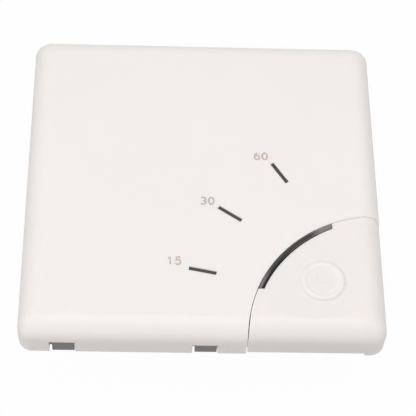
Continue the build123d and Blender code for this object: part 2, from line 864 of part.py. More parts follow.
# Light box: a tube under each window, tied by two curved ribs
with BuildPart() as light_box:
    with BuildSketch(Plane.XY.offset(board_top)):
        with Locations(fan_centre):
            for side in (-1, 1):
                Circle(window_mid_radius + side * window_length / 4 + light_box_rib / 2)
                Circle(window_mid_radius + side * window_length / 4 - light_box_rib / 2, mode=Mode.SUBTRACT)
        Polygon(
            fan_centre,
            *[fan_place(angle, 2 * window_mid_radius) for angle in fan_angles],
            align=None,
            mode=Mode.INTERSECT,
        )
    extrude(amount=light_box_height)
    for mode, margin in ((Mode.ADD, light_box_gap + light_box_wall), (Mode.SUBTRACT, light_box_gap)):
        for angle in fan_angles:
            with BuildSketch(Plane.XY.offset(board_top)):
                with Locations(Location(fan_place(angle, window_mid_radius), angle)):
                    Rectangle(window_length + 2 * margin, window_width + 2 * margin)
            extrude(amount=light_box_height, mode=mode)
save(light_box.part, "light_box")

# Control board
with BuildPart() as control_board:
    with BuildSketch(Plane.XY.offset(board_bottom)):
        RectangleRounded(2 * half_board, 2 * half_board, board_corner_radius)
        with Locations(*fixing_places):
            Circle(fixing_access_radius, mode=Mode.SUBTRACT)
        with Locations(*board_screw_places):
            Circle(board_screw_hole_radius, mode=Mode.SUBTRACT)
        with Locations(*peg_places):
            Circle(sleeve_radius + board_sleeve_gap, mode=Mode.SUBTRACT)
        with Locations(Location((hook_place, -half_board)), Location((half_board, -hook_place), 90)):
            Rectangle(
                hook_width + 2 * board_hook_gap,
                2 * (half_board - half_hook_outside + hook_thickness + board_hook_gap),
                mode=Mode.SUBTRACT,
            )
        with Locations(*header_places):
            Rectangle(header_hole_side, header_hole_side, mode=Mode.SUBTRACT)
    extrude(amount=board_thickness)
save(control_board.part, "control_board")

# Screws of the control board
with BuildPart() as board_screws:
    with BuildSketch(Plane.XY.offset(board_top)):
        with Locations(*board_screw_places):
            Circle(screw_head_radius)
    extrude(amount=screw_head_height)
    chamfer(board_screws.faces().group_by(Axis.Z)[-1].edges(), screw_slot_depth / 2)
    with BuildSketch(Plane.XY.offset(board_top + screw_head_height - screw_slot_depth)):
        with Locations(*board_screw_places):
            Rectangle(2 * screw_head_radius + overrun, screw_slot_width)
    extrude(amount=screw_slot_depth, mode=Mode.SUBTRACT)
    with BuildSketch(Plane.XY.offset(board_top - screw_reach + screw_thread_gap)):
        with Locations(*board_screw_places):
            Circle(screw_pilot_radius)
    extrude(amount=screw_reach - screw_thread_gap)
save(board_screws.part, "board_screws")

# Tact switch: body, dome, plunger and metal shield
with BuildPart() as tact_body:
    with BuildSketch(Plane.XY.offset(board_top)):
        with Locations(ring_centre):
            Rectangle(tact_side, tact_side)
    extrude(amount=tact_body_height)
    chamfer(tact_body.edges().filter_by(Axis.Z), tact_floor)
    with BuildSketch(Plane.XY.offset(dome_level)):
        with Locations(ring_centre):
            Circle(tact_cavity_radius)
    extrude(amount=tact_body_height, mode=Mode.SUBTRACT)
save(tact_body.part, "tact_body")

with BuildPart() as tact_dome:
    with BuildSketch(Plane.XZ.offset(-ring_centre[1])):
        with BuildLine():
            lower = TangentArc(
                (ring_centre[0], dome_level + dome_rise),
                (ring_centre[0] + dome_radius, dome_level),
                tangent=(1, 0),
            )
            rim = Line(lower @ 1, (ring_centre[0] + dome_radius, dome_level + dome_thickness))
            upper = TangentArc(
                (ring_centre[0], dome_level + dome_rise + dome_thickness), rim @ 1, tangent=(1, 0)
            )
            Line(upper @ 0, lower @ 0)
        make_face()
    revolve(axis=Axis((*ring_centre, 0), (0, 0, 1)))
save(tact_dome.part, "tact_dome")

with BuildPart() as tact_plunger:
    with BuildSketch(Plane.XY.offset(dome_level + dome_rise + dome_thickness)):
        with Locations(ring_centre):
            Circle(tact_nub_radius)
    extrude(amount=tact_top - dome_level - dome_rise - dome_thickness)
    with BuildSketch(Plane.XY.offset(tact_top - tact_flange_height)):
        with Locations(ring_centre):
            Circle(tact_flange_radius)
    extrude(amount=tact_flange_height)
    with BuildSketch(Plane.XY.offset(tact_top)):
        with Locations(ring_centre):
            Circle(tact_plunger_radius)
    extrude(amount=tact_plunger_rise)
    chamfer(tact_plunger.faces().group_by(Axis.Z)[-1].edges(), tact_plunger_gap)
save(tact_plunger.part, "tact_plunger")

with BuildPart() as tact_shield:
    with BuildSketch(Plane.XY.offset(tact_top)):
        with Locations(ring_centre):
            Rectangle(tact_side, tact_side + 2 * (shield_tab_gap + tact_shield_thickness))
            Circle(tact_plunger_radius + tact_plunger_gap, mode=Mode.SUBTRACT)
    extrude(amount=tact_shield_thickness)
    with BuildSketch(Plane.XY.offset(dome_level)):
        for side in (-1, 1):
            with Locations((ring_centre[0], ring_centre[1] + side * (tact_side / 2 + shield_tab_gap))):
                Rectangle(
                    shield_tab_width,
                    tact_shield_thickness,
                    align=(Align.CENTER, Align.MIN if side > 0 else Align.MAX),
                )
    extrude(amount=tact_top - dome_level)
save(tact_shield.part, "tact_shield")

# Springs round the guide pegs
for number, place in enumerate(peg_places, 1):
    with BuildPart() as return_spring:
        with BuildLine():
            coil = Helix(
                spring_height / spring_turns, spring_height, spring_coil_radius, center=(*place, spring_level)
            )
        with BuildSketch(Plane(origin=coil @ 0, z_dir=coil % 0)):
            RegularPolygon(spring_wire_radius, spring_wire_sides)
        sweep(path=coil, is_frenet=True)
    save(return_spring.part, f"return_spring_{number}")

# Controller chip with its gull-wing legs
with BuildPart() as controller_chip:
    with BuildSketch(Plane.XY.offset(board_top + chip_standoff)):
        with Locations((-chip_left, chip_up)):
            Rectangle(chip_length, chip_width)
    extrude(amount=chip_height)
    chamfer(controller_chip.edges().filter_by(Axis.X), chip_lead_thickness)
    for number in range(chip_lead_count):
        lead_x = chip_lead_pitch * (number - (chip_lead_count - 1) / 2) - chip_left
        for side in (-1, 1):
            with BuildSketch(Plane.YZ.offset(lead_x)):
                Polygon(
                    (chip_up + side * chip_foot, board_top),
                    (chip_up + side * chip_foot, board_top + chip_lead_thickness),
                    (chip_up + side * chip_knee, board_top + chip_lead_thickness),
                    (chip_up + side * chip_knee, chip_shoulder + chip_lead_thickness),
                    (chip_up + side * chip_root, chip_shoulder + chip_lead_thickness),
                    (chip_up + side * chip_root, chip_shoulder),
                    (chip_up + side * (chip_knee - chip_lead_thickness), chip_shoulder),
                    (chip_up + side * (chip_knee - chip_lead_thickness), board_top),
                    align=None,
                )
            extrude(amount=chip_lead_width / 2, both=True)
save(controller_chip.part, "controller_chip")

with BuildPart() as chip_resistors:
    with BuildSketch(Plane.XY.offset(board_top)):
        with Locations((-resistor_row_left, -resistor_row_down)):
            with GridLocations(resistor_pitch, resistor_pitch, resistor_count, 1):
                Rectangle(resistor_length, resistor_width)
    extrude(amount=resistor_height)
save(chip_resistors.part, "chip_resistors")

# Header between the two boards
with BuildPart() as header_body:
    with BuildSketch(Plane.XY.offset(power_board_top)):
        with Locations((header_right, header_up)):
            Rectangle(header_body_width, header_pin_count * header_pitch)
        with Locations(*header_places):
            Rectangle(header_pin_side, header_pin_side, mode=Mode.SUBTRACT)
    extrude(amount=header_body_height)
    chamfer(header_body.edges().filter_by(Axis.Z).group_by(Axis.X)[0], header_hole_gap)
save(header_body.part, "header_body")

with BuildPart() as header_pins:
    with BuildSketch(Plane.XY.offset(-power_board_level - header_tail)):
        with Locations(*header_places):
            Rectangle(header_pin_side, header_pin_side)
    extrude(amount=board_top + header_pin_top + power_board_level + header_tail)
save(header_pins.part, "header_pins")

# Insulating sheet over the frame's window
with BuildPart() as insulating_sheet:
    with BuildSketch(Plane.XY.offset(frame_floor)):
        Rectangle(frame_window_side + 2 * sheet_margin, frame_window_side + 2 * sheet_margin)
        with Locations((header_right, header_up)):
            Rectangle(
                header_body_width + 2 * sheet_slot_margin,
                header_pin_count * header_pitch + 2 * sheet_slot_margin,
                mode=Mode.SUBTRACT,
            )
    extrude(amount=sheet_thickness)
save(insulating_sheet.part, "insulating_sheet")

# Rear housing: a box that goes into the wall box, screwed to the frame from behind
with BuildPart() as rear_housing:
    with BuildSketch(Plane.XY.offset(housing_back)):
        RectangleRounded(housing_side, housing_side, housing_corner_radius)
    extrude(amount=housing_depth + pocket_depth)
    chamfer(rear_housing.faces().group_by(Axis.Z)[0].edges(), housing_back_chamfer)
    with BuildSketch(Plane.XY.offset(housing_floor)):
        RectangleRounded(
            2 * half_housing_inside, 2 * half_housing_inside, housing_corner_radius - housing_wall
        )
    extrude(amount=housing_depth + pocket_depth, mode=Mode.SUBTRACT)
    # Screw posts in the corners, counterbored from behind
    with BuildSketch(Plane.XY.offset(housing_back + weld)):
        with GridLocations(2 * post_place, 2 * post_place, 2, 2):
            Circle(post_radius)
        Rectangle(2 * half_housing_inside + weld, 2 * half_housing_inside + weld, mode=Mode.INTERSECT)
    extrude(amount=-post_meet_depth - housing_back - weld)
    with BuildSketch(Plane.XY.offset(housing_back)):
        with GridLocations(2 * post_place, 2 * post_place, 2, 2):
            Circle(housing_screw_radius + housing_screw_hole_gap)
    extrude(amount=housing_depth, mode=Mode.SUBTRACT)
    with BuildSketch(Plane.XY.offset(housing_back)):
        with GridLocations(2 * post_place, 2 * post_place, 2, 2):
            Circle(post_counterbore_radius)
    extrude(amount=housing_screw_seat - housing_back, mode=Mode.SUBTRACT)
    # Ledges that the power board rests on
    with BuildSketch(Plane.XY.offset(housing_floor - weld)):
        for side in (-1, 1):
            with Locations(
                (side * (half_housing_inside + weld), board_ledge_offset),
                (side * (half_housing_inside + weld), -board_ledge_offset),
            ):
                Rectangle(
                    board_ledge_thickness + weld,
                    board_ledge_width,
                    align=(Align.MIN if side < 0 else Align.MAX, Align.CENTER),
                )
    extrude(amount=-power_board_level - housing_floor + weld)
    # Opening for the terminal block
    with BuildSketch(Plane.XY.offset(housing_back)):
        with Locations((0, -half_housing)):
            Rectangle(
                terminal_block_width + 2 * terminal_fit_gap,
                2 * (terminal_block_depth + terminal_fit_gap),
            )
    extrude(amount=terminal_block_height + terminal_fit_gap, mode=Mode.SUBTRACT)
    # Relief ribs on the back
    with BuildSketch(Plane.XY.offset(housing_back)):
        with Locations((0, rear_rib_up)):
            with GridLocations(rear_rib_pitch, rear_rib_pitch, rear_rib_count, 1):
                SlotOverall(rear_rib_length, rear_rib_width, rotation=90)
    extrude(amount=rear_rib_relief, mode=Mode.SUBTRACT)
save(rear_housing.part, "rear_housing")

with BuildPart() as housing_screws:
    with BuildSketch(Plane.XY.offset(housing_screw_seat - housing_screw_head_height)):
        with GridLocations(2 * post_place, 2 * post_place, 2, 2):
            Circle(housing_screw_head_radius)
    extrude(amount=housing_screw_head_height)
    chamfer(housing_screws.faces().group_by(Axis.Z)[0].edges(), screw_slot_depth / 2)
    with BuildSketch(Plane.XY.offset(housing_screw_seat - housing_screw_head_height)):
        with GridLocations(2 * post_place, 2 * post_place, 2, 2):
            Rectangle(2 * housing_screw_head_radius + overrun, screw_slot_width)
            Rectangle(screw_slot_width, 2 * housing_screw_head_radius + overrun)
    extrude(amount=screw_slot_depth, mode=Mode.SUBTRACT)
    with BuildSketch(Plane.XY.offset(housing_screw_seat)):
        with GridLocations(2 * post_place, 2 * post_place, 2, 2):
            Circle(housing_screw_radius)
    extrude(amount=housing_screw_grip - post_meet_depth - housing_screw_seat)
save(housing_screws.part, "housing_screws")

# Power board, notched for the frame's posts
with BuildPart() as power_board:
    with BuildSketch(Plane.XY.offset(-power_board_level)):
        Rectangle(2 * half_power_board, 2 * half_power_board)
        with GridLocations(2 * half_power_board, 2 * half_power_board, 2, 2):
            Rectangle(post_notch, post_notch, mode=Mode.SUBTRACT)
        with Locations(*header_places):
            Rectangle(header_hole_side, header_hole_side, mode=Mode.SUBTRACT)
        with Locations(*relay_pin_places):
            Rectangle(
                relay_pin_thickness + 2 * relay_pin_hole_gap,
                relay_pin_width + 2 * relay_pin_hole_gap,
                mode=Mode.SUBTRACT,
            )
        with Locations(*[(x, tongue_back - tongue_thickness / 2) for x in terminal_places]):
            Rectangle(
                tongue_pin_width + 2 * tongue_pin_hole_gap,
                tongue_thickness + 2 * tongue_pin_hole_gap,
                mode=Mode.SUBTRACT,
            )
    extrude(amount=board_thickness)
save(power_board.part, "power_board")

# Relay: base, pins, magnet, armature, contacts and case
with BuildPart() as relay_base:
    with BuildSketch(Plane.XY.offset(relay_base_inside)):
        with Locations(relay_centre):
            Rectangle(relay_length, relay_width)
        with Locations(*relay_pin_places):
            Rectangle(
                relay_pin_thickness + 2 * relay_pin_hole_gap,
                relay_pin_width + 2 * relay_pin_hole_gap,
                mode=Mode.SUBTRACT,
            )
    extrude(amount=relay_base_thickness)
save(relay_base.part, "relay_base")

with BuildPart() as relay_pins:
    with BuildSketch(Plane.XY.offset(relay_base_inside)):
        with Locations(*relay_pin_places):
            Rectangle(relay_pin_thickness, relay_pin_width)
    extrude(amount=power_board_top + relay_pin_tail - relay_base_inside)
save(relay_pins.part, "relay_pins")

with BuildPart() as relay_case:
    with BuildSketch(Plane.XY.offset(relay_top - relay_total_height)):
        with Locations(relay_centre):
            RectangleRounded(
                relay_length + 2 * (relay_case_gap + relay_case_wall),
                relay_width + 2 * (relay_case_gap + relay_case_wall),
                relay_case_wall,
            )
    extrude(amount=relay_total_height - relay_base_thickness + relay_case_overlap)
    with BuildSketch(Plane.XY.offset(relay_top - relay_total_height + relay_case_wall)):
        with Locations(relay_centre):
            Rectangle(relay_length + 2 * relay_case_gap, relay_width + 2 * relay_case_gap)
    extrude(amount=relay_total_height, mode=Mode.SUBTRACT)
save(relay_case.part, "relay_case")

with BuildPart() as relay_yoke:
    with BuildSketch(Plane.XZ.offset(-relay_up)):
        Polygon(
            (yoke_left, relay_base_inside),
            (coil_centre[0] + core_radius + yoke_foot_margin, relay_base_inside),
            (coil_centre[0] + core_radius + yoke_foot_margin, bobbin_top),
            (yoke_left + yoke_thickness, bobbin_top),
            (yoke_left + yoke_thickness, pole_face),
            (yoke_left + yoke_thickness / 2, pole_face - yoke_ridge),
            (yoke_left, pole_face),
            align=None,
        )
    extrude(amount=yoke_width / 2, both=True)
    with BuildSketch(Plane.XY.offset(bobbin_top)):
        with Locations(coil_centre):
            Circle(core_radius + core_gap)
    extrude(amount=yoke_thickness, mode=Mode.SUBTRACT)
save(relay_yoke.part, "relay_yoke")

with BuildPart() as relay_bobbin:
    for level in (bobbin_bottom, bobbin_top - bobbin_flange_thickness):
        with BuildSketch(Plane.XY.offset(level)):
            with Locations(coil_centre):
                RectangleRounded(bobbin_flange, bobbin_flange, bobbin_flange_thickness)
        extrude(amount=bobbin_flange_thickness)
    with BuildSketch(Plane.XY.offset(bobbin_bottom)):
        with Locations(coil_centre):
            Circle(bobbin_barrel_radius)
    extrude(amount=bobbin_length)
    with BuildSketch(Plane.XY.offset(bobbin_bottom)):
        with Locations(coil_centre):
            Circle(core_radius + core_gap)
    extrude(amount=bobbin_length, mode=Mode.SUBTRACT)
save(relay_bobbin.part, "relay_bobbin")

with BuildPart() as relay_winding:
    with BuildSketch(Plane.XY.offset(bobbin_bottom + bobbin_flange_thickness)):
        with Locations(coil_centre):
            Circle(winding_radius)
            Circle(bobbin_barrel_radius, mode=Mode.SUBTRACT)
    extrude(amount=bobbin_length - 2 * bobbin_flange_thickness)
save(relay_winding.part, "relay_winding")

with BuildPart() as relay_core:
    with BuildSketch(Plane.XY.offset(pole_face)):
        with Locations(coil_centre):
            Circle(pole_radius)
    extrude(amount=pole_thickness)
    with BuildSketch(Plane.XY.offset(bobbin_bottom)):
        with Locations(coil_centre):
            Circle(core_radius)
    extrude(amount=bobbin_length + yoke_thickness)
save(relay_core.part, "relay_core")

with BuildPart() as relay_armature:
    with BuildSketch(Plane.XY.offset(armature_bottom)):
        with Locations((yoke_left, relay_up)):
            Rectangle(
                coil_centre[0] + pole_radius + armature_end_past_pole - yoke_left,
                armature_width,
                align=(Align.MIN, Align.CENTER),
            )
    extrude(amount=armature_thickness)
save(relay_armature.part, "relay_armature")

with BuildPart() as contact_blade:
    with BuildSketch(Plane.XY.offset(armature_bottom - blade_thickness)):
        with Locations((contact_x + contact_radius, relay_up)):
            Rectangle(
                contact_x + contact_radius - relay_centre[0] + blade_start_margin,
                blade_width,
                align=(Align.MAX, Align.CENTER),
            )
    extrude(amount=blade_thickness)
    with BuildSketch(Plane.XY.offset(armature_bottom - blade_thickness - contact_rivet_tail)):
        with Locations((contact_x, relay_up)):
            Circle(contact_radius)
    extrude(amount=contact_rivet_height + blade_thickness + contact_rivet_tail)
save(contact_blade.part, "contact_blade")

with BuildPart() as fixed_contact:
    with BuildSketch(Plane.XZ.offset(-relay_up)):
        Polygon(
            (contact_x - contact_radius, contact_tab_level),
            (contact_strip_x, contact_tab_level),
            (contact_strip_x, relay_base_inside),
            (contact_strip_x - contact_tab_thickness, relay_base_inside),
            (contact_strip_x - contact_tab_thickness, contact_tab_level + contact_tab_thickness),
            (contact_x - contact_radius, contact_tab_level + contact_tab_thickness),
            align=None,
        )
    extrude(amount=contact_tab_width / 2, both=True)
    with BuildSketch(Plane.XY.offset(fixed_contact_face)):
        with Locations((contact_x, relay_up)):
            Circle(contact_radius)
    extrude(amount=fixed_rivet_height)
save(fixed_contact.part, "fixed_contact")

# Suppression capacitor
with BuildPart() as suppression_capacitor:
    with BuildSketch(Plane.XY.offset(lead_level - capacitor_height)):
        with Locations((capacitor_right, capacitor_up)):
            Rectangle(capacitor_length, capacitor_width)
    extrude(amount=capacitor_height)
    fillet(suppression_capacitor.edges().filter_by(Axis.Z), capacitor_edge)
    with BuildSketch(Plane.XY.offset(lead_level)):
        with Locations((capacitor_right, capacitor_up)):
            with GridLocations(capacitor_length - capacitor_width, 0, 2, 1):
                Circle(lead_radius)
    extrude(amount=lead_standoff)
save(suppression_capacitor.part, "suppression_capacitor")

# Smoothing capacitor: a rolled can with a grooved neck
with BuildPart() as smoothing_capacitor:
    with BuildSketch(Plane.XZ.offset(electrolytic_down)):
        with BuildLine():
            Polyline(
                (electrolytic_right, lead_level),
                (can_side, lead_level),
                (can_side, lead_level - electrolytic_neck),
                (can_side - electrolytic_groove, lead_level - electrolytic_neck - electrolytic_groove),
                (can_side, lead_level - electrolytic_neck - 2 * electrolytic_groove),
                (can_side, lead_level - electrolytic_height + electrolytic_rim),
                (can_side - electrolytic_rim, lead_level - electrolytic_height),
                (electrolytic_right, lead_level - electrolytic_height),
                close=True,
            )
        make_face()
    revolve(axis=Axis((electrolytic_right, -electrolytic_down, 0), (0, 0, 1)))
    with BuildSketch(Plane.XY.offset(lead_level)):
        with Locations((electrolytic_right, -electrolytic_down)):
            with GridLocations(electrolytic_radius, 0, 2, 1):
                Circle(lead_radius)
    extrude(amount=lead_standoff)
save(smoothing_capacitor.part, "smoothing_capacitor")

# Varistor: a coated disc on two leads
with BuildPart() as varistor:
    with BuildSketch(Plane.YZ.offset(varistor_right)):
        with Locations((-varistor_down, varistor_level)):
            Circle(varistor_radius)
    extrude(amount=varistor_thickness / 2, both=True)
    chamfer(varistor.edges(), varistor_edge)
    with BuildSketch(Plane.XY.offset(varistor_level + varistor_radius / 2)):
        with Locations((varistor_right, -varistor_down)):
            with GridLocations(0, varistor_radius, 1, 2):
                Circle(lead_radius)
    extrude(amount=-power_board_level - varistor_level - varistor_radius / 2)
save(varistor.part, "varistor")

# Fuse: a ceramic tube between two metal caps
with BuildPart() as fuse_body:
    with BuildSketch(Plane.YZ.offset(-fuse_left)):
        with Locations((-fuse_down, fuse_level)):
            Circle(fuse_radius)
    extrude(amount=fuse_length / 2, both=True)
save(fuse_body.part, "fuse_body")

with BuildPart() as fuse_caps:
    for side in (-1, 1):
        with BuildSketch(Plane.YZ.offset(-fuse_left + side * fuse_length / 2)):
            with Locations((-fuse_down, fuse_level)):
                Circle(fuse_cap_radius)
        extrude(amount=side * (fuse_cap_length - fuse_cap_overlap))
        with BuildSketch(Plane.YZ.offset(-fuse_left + side * fuse_length / 2)):
            with Locations((-fuse_down, fuse_level)):
                Circle(fuse_cap_radius)
                Circle(fuse_radius, mode=Mode.SUBTRACT)
        extrude(amount=-side * fuse_cap_overlap)
        with BuildSketch(Plane.XY.offset(fuse_level)):
            with Locations((-fuse_left + side * fuse_half_span, -fuse_down)):
                Circle(lead_radius)
        extrude(amount=-power_board_level - fuse_level)
save(fuse_caps.part, "fuse_caps")

# Bridge rectifier
with BuildPart() as bridge_rectifier:
    with BuildSketch(Plane.XY.offset(lead_level - bridge_height)):
        with Locations((bridge_right, bridge_up)):
            Rectangle(bridge_length, bridge_width)
    extrude(amount=bridge_height)
    chamfer(bridge_rectifier.edges().filter_by(Axis.Z), lead_radius)
    with BuildSketch(Plane.XY.offset(lead_level)):
        with Locations((bridge_right, bridge_up)):
            with GridLocations(bridge_length * lead_spacing_share, bridge_width * lead_spacing_share, 2, 2):
                Circle(lead_radius)
    extrude(amount=lead_standoff)
save(bridge_rectifier.part, "bridge_rectifier")

# Mains choke: a drum core and its winding
with BuildPart() as choke_core:
    for level in (choke_level, choke_level + choke_height - choke_flange_thickness):
        with BuildSketch(Plane.XY.offset(level)):
            with Locations(choke_place):
                Circle(choke_radius)
        extrude(amount=choke_flange_thickness)
    with BuildSketch(Plane.XY.offset(choke_level)):
        with Locations(choke_place):
            Circle(choke_waist_radius)
    extrude(amount=choke_height)
    with BuildSketch(Plane.XY.offset(choke_level + choke_height)):
        with Locations(choke_place):
            with GridLocations(choke_radius, 0, 2, 1):
                Circle(lead_radius)
    extrude(amount=lead_standoff)
save(choke_core.part, "choke_core")

with BuildPart() as choke_winding:
    with BuildSketch(Plane.XY.offset(choke_level + choke_flange_thickness)):
        with Locations(choke_place):
            Circle(choke_winding_radius)
            Circle(choke_waist_radius, mode=Mode.SUBTRACT)
    extrude(amount=choke_height - 2 * choke_flange_thickness)
save(choke_winding.part, "choke_winding")

# Terminal block: a cell for each rising cage
with BuildPart() as terminal_block:
    with BuildSketch(Plane.XY.offset(housing_back)):
        with Locations((0, -half_housing)):
            Rectangle(terminal_block_width, terminal_block_depth, align=(Align.CENTER, Align.MIN))
    extrude(amount=terminal_block_height)
    with BuildSketch(Plane.XY.offset(housing_back)):
        with Locations(*[(x, cage_y) for x in terminal_places]):
            Circle(terminal_head_radius + terminal_head_gap)
    extrude(amount=terminal_head_seat - housing_back, mode=Mode.SUBTRACT)
    with BuildSketch(Plane.XY.offset(housing_back)):
        with Locations(*[(x, cage_y) for x in terminal_places]):
            Circle(terminal_screw_radius + terminal_shank_gap)
    extrude(amount=cage_cavity_floor - housing_back, mode=Mode.SUBTRACT)
    with BuildSketch(Plane.XY.offset(cage_cavity_floor)):
        with Locations(*[(x, cage_y) for x in terminal_places]):
            Rectangle(cage_width + 2 * cage_gap, cage_depth + 2 * cage_gap)
    extrude(amount=cage_cavity_top - cage_cavity_floor, mode=Mode.SUBTRACT)
    # Channel of the fixed tongue, up to the power board
    with BuildSketch(Plane.XY.offset(tongue_level - tongue_side_gap)):
        with Locations(*[(x, cage_y) for x in terminal_places]):
            Rectangle(
                tongue_width + 2 * tongue_side_gap,
                tongue_back + tongue_side_gap - cage_y,
                align=(Align.CENTER, Align.MIN),
            )
    extrude(amount=terminal_block_height, mode=Mode.SUBTRACT)
    # Wire entries
    with BuildSketch(Plane.XZ.offset(half_housing - cage_front_wall - overrun)):
        with Locations(*[(x, tongue_level + tongue_thickness + tongue_side_gap) for x in terminal_places]):
            Rectangle(wire_entry_width, wire_entry_height, align=(Align.CENTER, Align.MIN))
    extrude(amount=cage_front_wall + 2 * overrun, mode=Mode.SUBTRACT)
save(terminal_block.part, "terminal_block")

with BuildPart() as terminal_tongues:
    for x in terminal_places:
        with BuildSketch(Plane.YZ.offset(x)):
            Polygon(
                (cage_y - cage_depth / 2, tongue_level),
                (tongue_back, tongue_level),
                (tongue_back, block_top),
                (tongue_back - tongue_thickness, block_top),
                (tongue_back - tongue_thickness, tongue_level + tongue_thickness),
                (cage_y - cage_depth / 2, tongue_level + tongue_thickness),
                align=None,
            )
        extrude(amount=tongue_width / 2, both=True)
    with BuildSketch(Plane.XY.offset(block_top)):
        with Locations(*[(x, tongue_back - tongue_thickness / 2) for x in terminal_places]):
            Rectangle(tongue_pin_width, tongue_thickness)
    extrude(amount=power_board_top + relay_pin_tail - block_top)
save(terminal_tongues.part, "terminal_tongues")

# Rising cages and their screws
for number, x in enumerate(terminal_places, 1):
    with BuildPart() as terminal_cage:
        with BuildSketch(Plane.XZ.offset(-cage_y)):
            with Locations((x, cage_rest_level)):
                Rectangle(cage_width, cage_height, align=(Align.CENTER, Align.MIN))
            with Locations((x, cage_rest_level + cage_wall)):
                Rectangle(
                    cage_width - 2 * cage_wall,
                    cage_height - 2 * cage_wall,
                    align=(Align.CENTER, Align.MIN),
                    mode=Mode.SUBTRACT,
                )
        extrude(amount=cage_depth / 2, both=True)
        with BuildSketch(Plane.XY.offset(cage_rest_level)):
            with Locations((x, cage_y)):
                Circle(terminal_screw_radius + terminal_thread_gap)
        extrude(amount=cage_wall, mode=Mode.SUBTRACT)
    save(terminal_cage.part, f"terminal_cage_{number}")

    with BuildPart() as terminal_screw:
        with BuildSketch(Plane.XY.offset(terminal_head_seat - terminal_head_height)):
            with Locations((x, cage_y)):
                Circle(terminal_head_radius)
        extrude(amount=terminal_head_height)
        chamfer(terminal_screw.faces().group_by(Axis.Z)[0].edges(), terminal_slot_depth / 4)
        with BuildSketch(Plane.XY.offset(terminal_head_seat - terminal_head_height)):
            with Locations((x, cage_y)):
                Rectangle(2 * terminal_head_radius + overrun, terminal_slot_width)
        extrude(amount=terminal_slot_depth, mode=Mode.SUBTRACT)
        with BuildSketch(Plane.XY.offset(terminal_head_seat)):
            with Locations((x, cage_y)):
                Circle(terminal_screw_radius)
        extrude(amount=tongue_level - terminal_thread_gap - terminal_head_seat)
    save(terminal_screw.part, f"terminal_screw_{number}")
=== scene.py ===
"""The look of the timer light switch: materials, printed numbers, camera, floor and light."""

import math

import bpy
from mathutils import Euler, Matrix, Vector


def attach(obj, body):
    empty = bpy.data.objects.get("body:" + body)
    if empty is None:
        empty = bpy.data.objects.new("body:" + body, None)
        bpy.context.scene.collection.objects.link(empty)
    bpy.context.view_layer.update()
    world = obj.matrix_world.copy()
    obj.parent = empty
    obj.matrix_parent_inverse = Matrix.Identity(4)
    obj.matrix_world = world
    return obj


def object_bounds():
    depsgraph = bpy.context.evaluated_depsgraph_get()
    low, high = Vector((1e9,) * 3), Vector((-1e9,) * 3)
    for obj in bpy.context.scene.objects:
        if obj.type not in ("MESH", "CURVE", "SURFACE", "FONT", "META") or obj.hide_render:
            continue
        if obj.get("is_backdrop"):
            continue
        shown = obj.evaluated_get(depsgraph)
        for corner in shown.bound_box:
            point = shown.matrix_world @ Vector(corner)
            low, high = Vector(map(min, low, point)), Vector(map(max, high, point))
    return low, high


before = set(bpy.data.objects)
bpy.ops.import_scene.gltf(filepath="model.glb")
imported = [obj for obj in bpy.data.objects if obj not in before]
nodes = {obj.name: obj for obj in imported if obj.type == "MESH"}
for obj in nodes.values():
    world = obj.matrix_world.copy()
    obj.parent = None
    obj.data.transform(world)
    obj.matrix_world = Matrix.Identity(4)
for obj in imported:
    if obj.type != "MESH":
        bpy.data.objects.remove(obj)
lowest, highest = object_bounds()

scene = bpy.context.scene
scene.view_settings.view_transform = "Standard"

MM = 0.001
BLACK = (0.0, 0.0, 0.0)
WHITE = (1.0, 1.0, 1.0)

# The plate's face above the wall, and the lower right corner that lens and seam are bent round
FACE = 10.5 * MM
CORNER = (43.0 * MM, -43.0 * MM)

# Plastic: a slow drift of colour and a stronger one of gloss, lighter worn edges and a fine grain
DRIFT_SCALE = 60.0
DRIFT_DETAIL = 4.0
DRIFT_LOW, DRIFT_HIGH = 0.3, 0.7
GLOSS_SHARE = 4.0
WEAR_FROM, WEAR_TO = 0.52, 0.62
WORN_GAIN, WORN_LIFT = 1.25, 0.03
GRAIN_SCALE = 900.0
GRAIN_DETAIL = 3.0
GRAIN_DEPTH = 0.02 * MM
COAT_ROUGHNESS = 0.15
SUBSURFACE_DEPTH = 1.5 * MM
SUBSURFACE_RADIUS = (1.0, 0.8, 0.6)

# The plastic that cover and button share
SHELL = {"roughness": 0.48, "spread": 0.012, "bump": 0.06, "coat": 0.12, "subsurface": 0.4, "specular": 0.12}

# The seam between cover and button, whose thin walls get a lighter painted colour and a painted glow, the
# glow most at the lower edge
SEAM_RADIUS = 32.725 * MM
SEAM_HALF_WIDTH = 0.2 * MM
SEAM_STEEPNESS = 8.0
SEAM_LOW_END = 10.0 * MM
PAINTED_SEAM_GLOW = 0.08
SEAM_LEAST_SHARE = 0.4

# The arc lens, paler where reflections and a highlight line are painted on: radii of its rims, of the painted
# highlight line near the inner one and of the darkest line, the angles in degrees at which its parts start
# and are full, and how much painted reflection each part adds
LENS_COLOR = (0.012, 0.0115, 0.011)
LENS_PAINTED_REFLECTION_COLOR = (0.21, 0.2, 0.195)
LENS_INNER_RADIUS = 31.6 * MM
LENS_LINE_RADIUS = 31.72 * MM
LENS_LINE_HALF_WIDTH = 0.14 * MM
LENS_DARK_RADIUS = 31.88 * MM
LENS_OUTER_RADIUS = 32.15 * MM
LENS_LOWER_END = (33.0, 27.0)
LENS_UPPER_HALF = (38.0, 50.0)
LENS_UPPER_END = (57.0, 62.0)
UPPER_END_PAINTED_REFLECTION = 0.8
OUTER_RIM_PAINTED_REFLECTION = 0.2
OUTER_RIM_LOWER_PAINTED_REFLECTION = 0.6
INNER_RIM_PAINTED_REFLECTION = 0.15
INNER_LINE_PAINTED_HIGHLIGHT = 0.6

